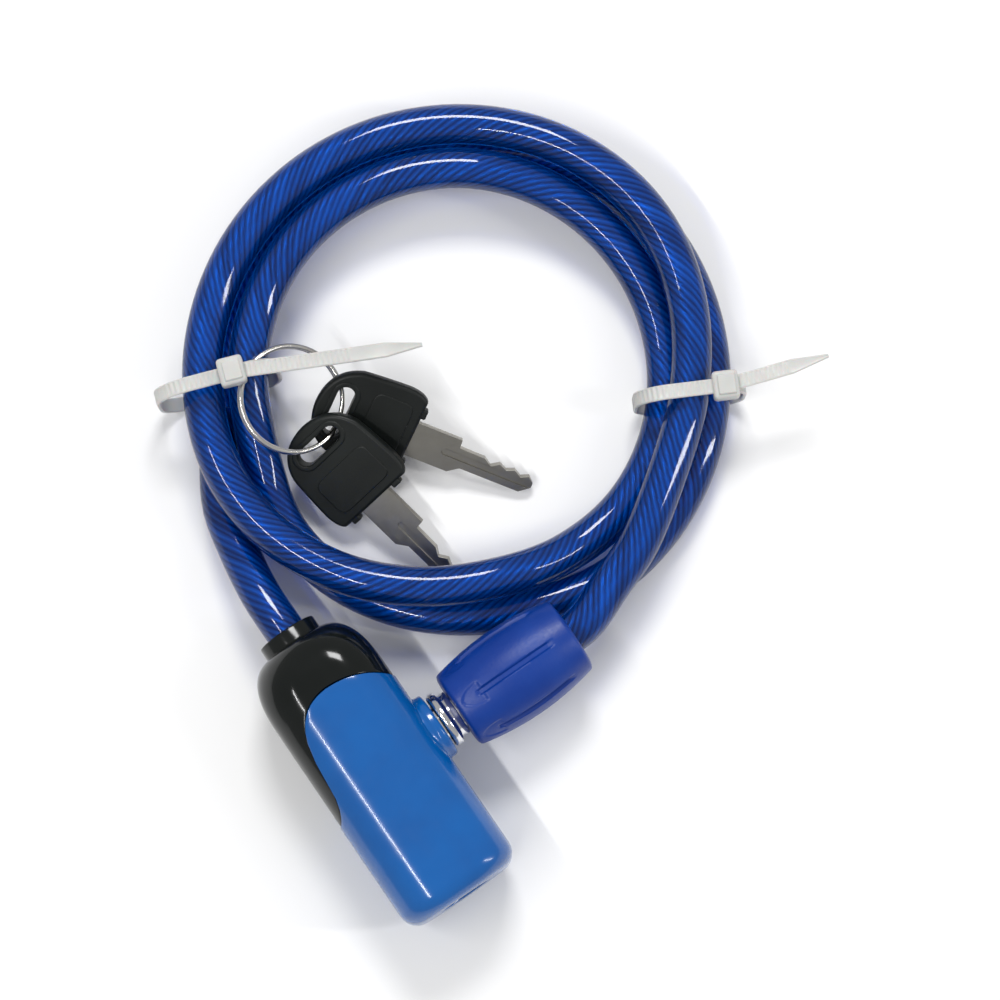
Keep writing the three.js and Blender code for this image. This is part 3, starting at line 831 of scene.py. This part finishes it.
@dataclass
class LockBody:
    """The moulded lock body, in mm.

    Attributes:
        half: half its width.
        depth_less: how much less half its depth is.
        corner: radius of its long edges.
        end_round: radius of the edge round the key side.
        key_end: where it ends at the key side.
        dome_start: where the hood begins to close in.
        dome_end: where the collar begins.
        collar_top: where the cable comes out.
        collar: radius of the collar.
        hole: radius of the recess round the key cylinder.
        per_corner: steps round each corner of the outline.
        per_flat: steps along each flat of it.
        shell_steps: rows along the shell.
        hood_steps: rows along the hood.
    """

    half: float = 15.7
    depth_less: float = 0.2
    corner: float = 10.5
    end_round: float = 4.6
    key_end: float = -37.7
    dome_start: float = 20.5
    dome_end: float = 35.5
    collar_top: float = 39.2
    collar: float = 7.6
    hole: float = 6.65
    per_corner: int = 14
    per_flat: int = 10
    shell_steps: int = 40
    hood_steps: int = 54

    def build(self) -> None:
        """Makes the shell with its boss, and the hood with its collar."""
        finish_piece(self._shell(), SHELL_BLUE, Body.LOCK, "body_shell")
        finish_piece(self._boss(), SHELL_BLUE, Body.LOCK)
        finish_piece(self._hood(), HOOD_BLACK, Body.LOCK, "black_hood")
        finish_piece(self._collar(), HOOD_BLACK, Body.LOCK)

    def _section(self, a: float, b: float, r: float) -> list[Pair]:
        """The body's outline across its axis.

        Args:
            a: half its width.
            b: half its depth.
            r: corner radius.

        Returns:
            (x, z) pairs about the axis, always the same number.
        """
        result = []
        for corner in range(4):
            sx = 1 if corner in (0, 3) else -1
            sz = 1 if corner < 2 else -1
            arc = []
            for i in range(self.per_corner + 1):
                angle = (corner + i / self.per_corner) * math.pi / 2
                arc.append((sx * (a - r) + r * math.cos(angle), sz * (b - r) + r * math.sin(angle)))
            result += arc
            angle = (corner + 1) * math.pi / 2
            tx, tz = (-sx, sz) if corner in (0, 2) else (sx, -sz)
            end = (tx * (a - r) + r * math.cos(angle), tz * (b - r) + r * math.sin(angle))
            for i in range(1, self.per_flat):
                t = i / self.per_flat
                result.append((arc[-1][0] * (1 - t) + end[0] * t, arc[-1][1] * (1 - t) + end[1] * t))
        return result[::-1]

    def seam(self, x: float) -> float:
        """Where the seam between shell and hood lies at x: an arch with a tongue down the -X side."""
        bends = (((15.9, 15.2), (9, 21.2), (0, 21.2)), ((0, 21.2), (-11.4, 20.6), (-11.9, 6)),
                 ((-11.9, 6), (-12.2, -4.5), (-15.2, -7.2)), ((-15.2, -7.2), (-15.6, -7.4), (-16, -7.6)))
        x = max(-16.0, min(15.9, x))
        for p, q, r in bends:
            if r[0] <= x <= p[0]:
                low, high = 0.0, 1.0
                for _ in range(24):
                    t = (low + high) / 2
                    if (1 - t) ** 2 * p[0] + 2 * t * (1 - t) * q[0] + t * t * r[0] > x:
                        low = t
                    else:
                        high = t
                return (1 - low) ** 2 * p[1] + 2 * low * (1 - low) * q[1] + low * low * r[1]
        return bends[-1][2][1]

    def _row(self, y: float, a: float, r: float) -> Row:
        """One outline at y."""
        return [(x, y, AXIS_Z + z) for x, z in self._section(a, a - self.depth_less, r)]

    def _shell(self) -> bpy.types.Object:
        """The blue shell: recess, key end, long sides and the rolled edge at the seam."""
        full = self._section(self.half, self.half - self.depth_less, self.corner)
        angles = [math.atan2(z, x) for x, z in full]

        def circle(y: float, r: float) -> Row:
            """A round row that matches the outline point by point."""
            return [(r * math.cos(a), y, AXIS_Z + r * math.sin(a)) for a in angles]

        end = self.key_end
        rows = [circle(end + depth, self.hole + wider) for depth, wider in (
            (2.4, 0), (0.5, 0), (0.15, 0.12), (0, 0.45), (0, 1.4))]
        for step in range(7):
            a = math.pi / 2 * step / 6
            inset = self.end_round * (1 - math.sin(a))
            rows.append(self._row(end + self.end_round * (1 - math.cos(a)), self.half - inset,
                                  self.corner - inset * 0.6))
        start = end + self.end_round
        tops = [self.seam(x) - 0.15 for x, _ in full]
        for k in range(1, self.shell_steps + 1):
            t = k / self.shell_steps
            rows.append([(x, start + (top - 0.3 - start) * t, AXIS_Z + z) for (x, z), top in zip(full, tops)])
        for rise, inset in ((0.2, 0.06), (0.3, 0.3), (0.3, 1.4)):
            ring = self._section(self.half - inset, self.half - self.depth_less - inset, self.corner - inset)
            rows.append([(x, top - 0.3 + rise, AXIS_Z + z) for (x, z), top in zip(ring, tops)])
        return skin("shell_moulding", rows)

    def _boss(self) -> bpy.types.Object:
        """The round boss that the pin goes into, with its flared foot and rounded mouth."""
        return turned("socket_boss", [
            (13.5, 9.4), (15.2, 9.2), (15.75, 8.9), (16.1, 8.55), (16.6, 8.42), (17.3, 8.4), (17.75, 8.25),
            (18.0, 7.95), (18.1, 7.6), (18.1, 6.95), (18.0, 6.7), (17.8, 6.6), (14.0, 6.6)], "x")

    def _hood_size(self, y: float) -> Pair:
        """Half width and corner radius of the hood at y."""
        half = self.half - 0.25
        t = max(0.0, min(1.0, (y - self.dome_start) / (self.dome_end - self.dome_start)))
        k = math.sqrt(1 - t**2.3)
        a = self.collar + 0.8 + (half - self.collar - 0.8) * k
        return a, self.corner * k + (a - 0.3) * (1 - k)

    def _hood(self) -> bpy.types.Object:
        """The black hood, from its rolled edge at the seam over the dome to the collar."""
        full = self._section(self.half, self.half - self.depth_less, self.corner)
        feet = [self.seam(x) + 0.12 for x, _ in full]
        rows: list[Row] = []
        for k in range(-3, self.hood_steps + 1):
            t = 1 - (1 - max(0, k) / self.hood_steps) ** 1.5
            inset = (0.0, 0.05, 0.3, 1.4)[-k] if k < 0 else 0.0
            row = []
            for i, foot in enumerate(feet):
                y = foot + (0.25 if k >= 0 else (0.25, 0.1, 0.0, 0.0)[-k])
                y += (self.dome_end - y) * t
                a, r = self._hood_size(y)
                x, z = self._section(a - inset, a - self.depth_less * 0.5 - inset, r - inset)[i]
                row.append((x, y, AXIS_Z + z))
            rows.append(row)
        return skin("hood_moulding", rows)

    def _collar(self) -> bpy.types.Object:
        """The collar round the cable."""
        top = self.collar_top
        profile = [(33.0, 8.0), (35.3, 8.0), (35.62, 7.72), (36.0, self.collar), (top - 0.5, self.collar),
                   (top - 0.15, self.collar - 0.15), (top, self.collar - 0.5), (top, 5.75),
                   (top - 0.12, 5.45), (top - 0.5, 5.25), (top - 5.0, 5.2)]
        return turned("cable_collar", profile, "y")


# ---------------------------------------------------------------- plug


@dataclass
class Plug:
    """The grip with its locking pin and chrome flange, in mm.

    Attributes:
        grip_from: where the grip begins, along the pin's axis.
        grip_to: where it ends.
        end_radius: its radius at both ends.
        mid_radius: its radius in the middle.
        end_round: radius of its end edges.
        sides: points round it.
        steps: rows along it.
        grooves: number of lengthwise grooves.
        groove_depth: how deep they are.
        groove_half: half the width of a groove.
        groove_from: where the grooves begin.
        groove_to: where they end.
        scallop_to: where the arched front mark of a groove is widest.
        scallop_length: length of that mark.
        scallop_half: half its width.
        scallop_depth: how deep it is.
        pin_radius: radius of the locking pin.
    """

    grip_from: float = 23.5
    grip_to: float = 56.6
    end_radius: float = 9.8
    mid_radius: float = 11.75
    end_round: float = 0.9
    sides: int = 288
    steps: int = 96
    grooves: int = 6
    groove_depth: float = 0.75
    groove_half: float = 0.85
    groove_from: float = 29.0
    groove_to: float = 52.0
    scallop_to: float = 30.6
    scallop_length: float = 5.4
    scallop_half: float = 2.9
    scallop_depth: float = 0.28
    pin_radius: float = 4.5

    def build(self) -> None:
        """Makes the grip, the pin and the flange."""
        finish_piece(self._grip(), GRIP_BLUE, Body.PLUG, "plug_grip", 50)
        r = self.pin_radius
        pin = [(-2.5, 0.3), (-2.5, 2.8), (-2.35, 3.1), (-1.1, 4.35), (-0.8, r), (1.9, r), (2.0, r - 0.1),
               (2.05, 3.1), (2.25, 3.0), (4.75, 3.0), (4.95, 3.1), (5.0, r - 0.1), (5.1, r), (32.8, r),
               (32.8, 5.9), (35.2, 5.9), (35.2, 0.3)]
        finish_piece(turned("locking_pin_turned", pin, "x"), CHROME, Body.PLUG, "locking_pin")
        flange = [(18.5, 4.75), (18.5, 6.0), (18.56, 6.5), (18.75, 6.92), (19.05, 7.2), (19.45, 7.33),
                  (19.9, 7.35), (20.3, 7.3), (20.65, 7.12), (20.92, 6.8), (21.07, 6.4), (21.2, 6.05),
                  (21.5, 5.9), (22.95, 5.9), (23.12, 5.8), (23.2, 5.55), (23.2, 4.75)]
        finish_piece(skin("flange_turned", turned_rows(flange), ring_closed=True), CHROME, Body.PLUG,
                     "chrome_flange")

    def _grip(self) -> bpy.types.Object:
        """The barrel-shaped grip, with lengthwise grooves that have an arched mark at the front."""
        length = self.grip_to - self.grip_from
        rows = turned_rows([(self.grip_from + 2.5, 4.85), (self.grip_from + 0.3, 4.85), (self.grip_from, 5.3),
                            (self.grip_from, 7.0)], "x", self.sides)
        for k in range(self.steps + 1):
            t = k / self.steps
            x = self.grip_from + length * t
            swell = 1 - (2 * t - 1) ** 2
            r = self.end_radius + (self.mid_radius - self.end_radius) * swell
            near = min(x - self.grip_from, self.grip_to - x)
            if near < self.end_round:
                r -= self.end_round * (1 - math.sqrt(max(0.0, 1 - (1 - near / self.end_round) ** 2)))
            row = []
            for a in around(self.sides):
                cut = r - self._cut(x, r, a)
                row.append((x, cut * math.cos(a), AXIS_Z + cut * math.sin(a)))
            rows.append(row)
        rows += turned_rows([(self.grip_to, 7.5), (self.grip_to, 5.9), (self.grip_to - 0.4, 5.45),
                             (self.grip_to - 4, 5.4)], "x", self.sides)
        return skin("grip_moulding", rows)

    def _cut(self, x: float, r: float, angle: float) -> float:
        """How deep the grooves are at a place on the grip."""
        pitch = 2 * math.pi / self.grooves
        off = abs((angle - math.pi / 6 + pitch / 2) % pitch - pitch / 2) * r
        ends = smooth_step((x - self.groove_from) / 0.8) * smooth_step((self.groove_to - x) / 3.0)
        line = 1 - smooth_step((off - self.groove_half * 0.55) / (self.groove_half * 0.6))
        reach = (self.scallop_to - x) / self.scallop_length
        width = self.scallop_half * math.sqrt(max(0.0, 1 - reach * reach)) if reach > -0.12 else 0.0
        scallop = smooth_step((width - off) / 0.5) * smooth_step((self.scallop_to + 0.4 - x) / 0.5)
        return max(self.groove_depth * line * ends, self.scallop_depth * scallop)


# ---------------------------------------------------------------- ties


@dataclass
class CableTie:
    """A nylon tie round the bundle, in mm.

    Attributes:
        name: the piece's name.
        node: the CAD node that it stands for.
        centre: where its loop's middle stands on the floor.
        heading: direction of its plane, in degrees.
        inner: innermost and outermost reach of the loop's inside, along the heading.
        top: height of the loop's inside.
        corner: inside corner radius.
        head: where its head sits along the heading.
        head_z: underside of the head.
        tail: length of the tail beyond the head's middle.
        tail_turn: how far the tail turns from the heading, in degrees.
        width: width of the strap.
        thick: its thickness with the ribs.
        rib_depth: how deep the ribs are.
        rib_pitch: distance between ribs.
        step: distance between the strap's rows.
    """

    name: str
    node: str
    centre: Pair
    heading: float
    inner: Pair
    top: float
    corner: float
    head: float
    head_z: float
    tail: float
    tail_turn: float
    width: float = 3.6
    thick: float = 1.0
    rib_depth: float = 0.26
    rib_pitch: float = 1.25
    step: float = 0.3

    def build(self) -> None:
        """Makes the strap, head and tail as one piece."""
        head = block(self.name, (self.head - 3.2, -3.5, self.head_z),
                     (self.head + 3.2, 3.5, self.head_z + 4.4), 0.9)
        lip = block(self.name + "_lip", (self.head - 2.0, -2.5, self.head_z + 4.1),
                    (self.head + 2.4, 2.5, self.head_z + 4.9), 0.35)
        join_into(head, self._strap(), self._tail(), lip)
        head.data.transform(Matrix.Translation((self.centre[0] * MM, self.centre[1] * MM, 0))
                            @ Matrix.Rotation(math.radians(self.heading), 4, "Z"))
        finish_piece(head, NYLON, Body.COIL, self.node, 40)

    def _band(self, name: str, line: list[Vector], outward: list[Vector], closed: bool,
              taper: float = 0.0, ribbed: float = 1.0) -> bpy.types.Object:
        """A ribbed band along a line.

        Args:
            name: the piece's name.
            line: points on its inner face, in mm.
            outward: direction of its ribbed face at each point.
            closed: whether it is a loop.
            taper: length over which its end comes to a point.
            ribbed: share of its length that has ribs.

        Returns:
            The band.
        """
        side = Vector((0, 1, 0))
        total = sum((b - a).length for a, b in zip(line, line[1:]))
        rows, s = [], 0.0
        for k, (point, out) in enumerate(zip(line, outward)):
            s += (point - line[k - 1]).length if k else 0.0
            across = side
            if not closed:
                ahead = (line[min(k + 1, len(line) - 1)] - line[max(k - 1, 0)]).normalized()
                across = out.cross(ahead).normalized()
            half = self.width / 2
            if taper and total - s < taper:
                half = max(0.45, half * (0.25 + 0.75 * (total - s) / taper))
            ramp = abs((s / self.rib_pitch) % 1 - 0.5) * 2
            rib = self.rib_depth * smooth_step(ramp * 1.6 - 0.3)
            top = self.thick - self.rib_depth + rib if s < total * ribbed else self.thick - 0.1
            section = [(-half, 0.2), (-half + 0.2, 0), (half - 0.2, 0), (half, 0.2), (half, self.thick - 0.2),
                       (half - 0.3, self.thick - 0.02), (half - 0.55, top), (-half + 0.55, top),
                       (-half + 0.3, self.thick - 0.02), (-half, self.thick - 0.2)]
            rows.append([tuple(point + across * w + out * h) for w, h in section])
        return skin(name, rows, not closed, not closed, closed)

    def _strap(self) -> bpy.types.Object:
        """The loop round the bundle."""
        x0, x1 = self.inner
        r = self.corner
        line, outward = [], []
        corners = ((x1 - r, 1 + r, -90), (x1 - r, self.top - r, 0), (x0 + r, self.top - r, 90),
                   (x0 + r, 1 + r, 180))
        for cx, cz, first in corners:
            for i in range(25):
                a = math.radians(first + 90 * i / 24)
                outward.append(Vector((math.cos(a), 0, math.sin(a))))
                line.append(Vector((cx, 0, cz)) + outward[-1] * r)
        fine, dirs = [], []
        for k, point in enumerate(line):
            after, out_after = line[(k + 1) % len(line)], outward[(k + 1) % len(line)]
            steps = max(1, round((after - point).length / self.step))
            for i in range(steps):
                fine.append(point.lerp(after, i / steps))
                dirs.append(outward[k].lerp(out_after, i / steps).normalized())
        return self._band(self.name + "_strap", fine, dirs, True)

    def _tail(self) -> bpy.types.Object:
        """The tail, which rises a little towards its point."""
        turn = math.radians(self.tail_turn)
        ahead = Vector((math.cos(turn), math.sin(turn), 0))
        steps = round(self.tail / self.step)
        line, dirs = [], []
        for i in range(steps + 1):
            s = self.tail * i / steps
            rise = 0.9 * (s / self.tail) ** 2
            line.append(Vector((self.head, 0, self.head_z + 1.6 + rise)) + ahead * s)
            dirs.append(Vector((0, 0, 1)))
        return self._band(self.name + "_tail", line, dirs, False, 9.0, 0.62)


# ---------------------------------------------------------------- keys and ring


@dataclass
class SplitRing:
    """The split ring, two turns of round wire, in mm.

    Attributes:
        centre: its centre.
        tilt: how far its plane tips, in degrees.
        heading: direction that it tips towards, in degrees.
        radius: mean radius of its turns.
        wire: radius of its wire.
        lift: how far each turn lies from the middle plane.
        end_gap: angle that each end stops short of the full turn.
    """

    centre: Point = (33.0, 85.6, 18.1)
    tilt: float = 20.7
    heading: float = -39.4
    radius: float = 13.0
    wire: float = 0.62
    lift: float = 0.64
    end_gap: float = 0.35

    def build(self) -> None:
        """Winds the ring, with a jog where one turn passes to the other."""
        line = []
        start, end = self.end_gap, 4 * math.pi - self.end_gap
        for i in range(361):
            a = start + (end - start) * i / 360
            side = smooth_step((a - 2 * math.pi + 0.35) / 0.7) * 2 - 1
            line.append(Vector((self.radius * math.cos(a), self.radius * math.sin(a), side * self.lift)))
        radii = [self.wire * 0.7, *[self.wire] * (len(line) - 2), self.wire * 0.7]
        rows = tube_rows(line, radii, 16)
        obj = skin("split_ring_wire", rows, True, True)
        obj.data.transform(Matrix.Translation(Vector(self.centre) * MM)
                           @ Matrix.Rotation(math.radians(self.heading), 4, "Z")
                           @ Matrix.Rotation(math.radians(self.tilt), 4, "Y"))
        finish_piece(obj, RING_STEEL, Body.RING, "split_ring", 60)


@dataclass
class Key:
    """A key with a moulded head, in mm. Its slot's centre is its origin and +X points at its tip.

    Attributes:
        name: the key's name in the model.
        body: the body that it rides on.
        slot: where the slot's centre lies.
        heading: direction of the tip, in degrees.
        dip: how far the tip points down.
        roll: how far the key rolls about its length.
        head_thick: thickness of the head at its rim.
        blade_thick: thickness of the blade.
        slot_radius: radius of the slot's round ends.
        slot_half: half the distance between their centres.
    """

    name: str
    body: Body
    slot: Point
    heading: float
    dip: float
    roll: float
    head_thick: float = 3.4
    blade_thick: float = 1.8
    slot_radius: float = 2.1
    slot_half: float = 4.6

    def build(self) -> None:
        """Makes the head and the blade."""
        place = (Matrix.Translation(Vector(self.slot) * MM)
                 @ Matrix.Rotation(math.radians(self.heading), 4, "Z")
                 @ Matrix.Rotation(math.radians(self.dip), 4, "Y")
                 @ Matrix.Rotation(math.radians(self.roll), 4, "X"))
        for piece, finish, part, crease in ((self._head(), KEY_BLACK, "_head", 40),
                                            (self._blade(), NICKEL, "_blade", 30)):
            piece.data.transform(place)
            finish_piece(piece, finish, self.body, self.name + part, crease)

    @staticmethod
    def _bend(p: Pair, q: Pair, r: Pair,
              steps: int = 14) -> list[Pair]:
        """Points on a bend from p to r that leans towards q."""
        return [((1 - t) ** 2 * p[0] + 2 * t * (1 - t) * q[0] + t * t * r[0],
                 (1 - t) ** 2 * p[1] + 2 * t * (1 - t) * q[1] + t * t * r[1])
                for t in (i / steps for i in range(steps))]

    def _slot_outline(self, grow: float) -> list[Pair]:
        """The slot's outline, widened by grow."""
        r = self.slot_radius + grow
        arc = [(r * math.cos(a), self.slot_half + r * math.sin(a))
               for a in (math.pi * i / 12 for i in range(13))]
        return arc + [(-x, -y) for x, y in arc]

    def _head(self) -> bpy.types.Object:
        """The moulded head: arched back, slot with a raised lip, and two lugs beside the blade."""
        outline = [(19.3, -10.0), (19.3, 10.0)]
        for bend in (((19.3, 10.4), (18.3, 12.2), (14, 12.4)), ((14, 12.4), (8, 12.2), (2, 11.6)),
                     ((2, 11.6), (-5.9, 9.2), (-6.1, 0)), ((-6.1, 0), (-5.9, -9.2), (2, -11.6)),
                     ((2, -11.6), (8, -12.2), (14, -12.4)), ((14, -12.4), (18.3, -12.2), (19.3, -10.4))):
            outline += self._bend(*bend)
        half = self.head_thick / 2
        head = plate(self.name + "_moulding", outline, [self._slot_outline(0.5)], -half + 0.25,
                     half - 0.25, 0.8)
        rim_out, rim_in = self._slot_outline(1.5), self._slot_outline(0.1)
        rim = plate(self.name + "_rim", rim_out, [rim_in], -half, half, 0.35)
        lugs = [block(self.name + "_lug", (18.6, middle - 1.3, -half + 0.5),
                      (20.3, middle + 1.3, half - 0.5), 0.4) for middle in (-7.2, 7.2)]
        sunk = rounded([(6.5, -8.6), (16.8, -8.6), (16.8, 8.6), (6.5, 8.6)], 2.5)
        pad = plate(self.name + "_pad", sunk, [], -half + 0.02, half - 0.02, 0.25)
        return join_into(head, rim, pad, *lugs)

    def _blade(self) -> bpy.types.Object:
        """The blade: a plate, and lands above it that leave the milled groove."""
        bitting = [(51.6, 0.6), (50, 2.2), (48, 1.2), (46, 2.4), (44, 1.5), (42, 2.4), (40, 1.0), (38, 2.4),
                   (36, 2.4), (31.2, 2.5), (31, 4.6), (8.3, 4.6)]
        lower = [(8.3, -4.6), (30.6, -4.6), (33.2, -2.6), (49, -2.6), (51.6, -0.6)]
        half = self.blade_thick / 2
        core = plate(self.name + "_nickel", lower + bitting, [], -half, half - 0.42, 0.1)
        groove = [(51.2, -0.75), (28, -0.75), (27.4, -0.2), (27.4, 0.4), (28, 0.95), (50.9, 0.95)]
        lands = lower[:-1] + groove + bitting[1:]
        return join_into(core, plate(self.name + "_lands", lands, [], half - 0.6, half, 0.1))


# ---------------------------------------------------------------- studio


def dress_inner_parts() -> None:
    """Lays finishes on the CAD nodes that show as they are."""
    choice = {node: BRIGHT_STEEL for node in (
        "socket_bush", "body_ferrule", "ferrule_pin", "cam", "latch_plate", "plug_ferrule", "swivel_washer")}
    choice |= {"lock_case": DIE_CAST, "cylinder_stator": TURNED_BRASS, "key_cylinder": TURNED_BRASS,
               "latch_spring": RING_STEEL}
    for i in range(1, 6):
        choice |= {f"wafer_{i}": TURNED_BRASS, f"wafer_spring_{i}": RING_STEEL}
    for node, finish in choice.items():
        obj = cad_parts[node]
        obj.data.materials.clear()
        obj.data.materials.append(SHOP.surface(finish))
        LOG.info("%s dressed as %s", node, finish.name)


@dataclass
class Studio:
    """Floor, lights and camera.

    Attributes:
        target: what the camera looks at, in metres.
        distance: how far away it stands.
        elevation: its height above the horizon, in degrees.
        up: which way is up in the picture, across the floor.
        width: width of the view at the target, in metres.
        sensor: width of the camera's sensor, in mm.
        floor_reach: how far the floor goes each way, in mm.
    """

    target: Point = (0.0615, 0.0373, 0.010)
    distance: float = 0.9
    elevation: float = 82.0
    up: Pair = (0.566, 0.824)
    width: float = 0.245
    sensor: float = 36.0
    floor_reach: float = 3000.0

    def camera(self) -> None:
        """Sets the long-lens camera."""
        data = bpy.data.cameras.new("camera")
        data.sensor_width = self.sensor
        data.lens = self.sensor * self.distance / self.width
        data.clip_start = 0.01
        obj = placed("camera", data)
        e = math.radians(self.elevation)
        back = Vector((-self.up[0] * math.cos(e), -self.up[1] * math.cos(e), math.sin(e)))
        obj.location = Vector(self.target) + back * self.distance
        side = Vector((self.up[0], self.up[1], 0)).cross(Vector((0, 0, 1))).normalized()
        obj.rotation_euler = Matrix((side, back.cross(side), back)).transposed().to_euler()
        bpy.context.scene.camera = obj

    def light(self, name: str, place: Point, size: Pair, power: float) -> None:
        """One softbox that looks at the lock.

        Args:
            name: the light's name.
            place: where it hangs, from the target, in metres.
            size: its width and height.
            power: watts.
        """
        data = bpy.data.lights.new(name, "AREA")
        data.shape = "RECTANGLE"
        data.size, data.size_y = size
        data.energy = power
        obj = placed(name, data)
        obj.location = Vector(self.target) + Vector(place)
        obj.rotation_euler = (-Vector(place)).to_track_quat("-Z", "Y").to_euler()

    def build(self) -> None:
        """Makes the floor, lights and background."""
        r = self.floor_reach
        floor = piece_from("floor", [(-r, -r, 0), (r, -r, 0), (r, r, 0), (-r, r, 0)], [(0, 1, 2, 3)])
        material = bpy.data.materials.new("floor")
        material.use_nodes = True
        feed(material.node_tree, material.node_tree.nodes["Principled BSDF"],
             {"Base Color": (0.9, 0.9, 0.9, 1), "Roughness": 0.8})
        floor.data.materials.append(material)
        world = bpy.data.worlds.new("studio")
        world.use_nodes = True
        feed(world.node_tree, world.node_tree.nodes["Background"], {"Color": (1, 1, 1, 1), "Strength": 0.42})
        bpy.context.scene.world = world
        self.light("key_strip", (-0.42, 0.0, 0.85), (0.75, 0.03), 3.6)
        self.light("top_box", (0.35, 0.55, 0.9), (0.35, 0.25), 6.0)
        self.light("side_strip", (0.6, -0.5, 0.6), (0.06, 0.5), 2.0)
        bpy.context.scene.view_settings.view_transform = "Standard"


def main() -> None:
    """Builds the lock's sub-assemblies in order."""
    logging.basicConfig(level=logging.INFO, format="%(name)s: %(message)s")
    studio = Studio()
    studio.camera()
    Cable().build()
    LockBody().build()
    Plug().build()
    CableTie("left_tie", "cable_tie_left", centre=(22.6, 98.6), heading=-19.5, inner=(-17.0, 12.2),
             top=24.7, corner=8.0, head=2.0, head_z=24.4, tail=46.5, tail_turn=-7.0).build()
    CableTie("right_tie", "cable_tie_right", centre=(114.2, 32.0), heading=-27.5, inner=(-12.9, 12.9),
             top=21.8, corner=7.8, head=8.4, head_z=19.4, tail=26.0, tail_turn=9.0).build()
    SplitRing().build()
    Key("key_a", Body.KEY_A, slot=(41.4, 77.6, 14.5), heading=-54.4, dip=13.4, roll=30.8).build()
    Key("key_b", Body.KEY_B, slot=(32.7, 73.1, 14.0), heading=-78.0, dip=12.9, roll=28.8).build()
    dress_inner_parts()
    studio.build()


if __name__ == "__main__":
    main()
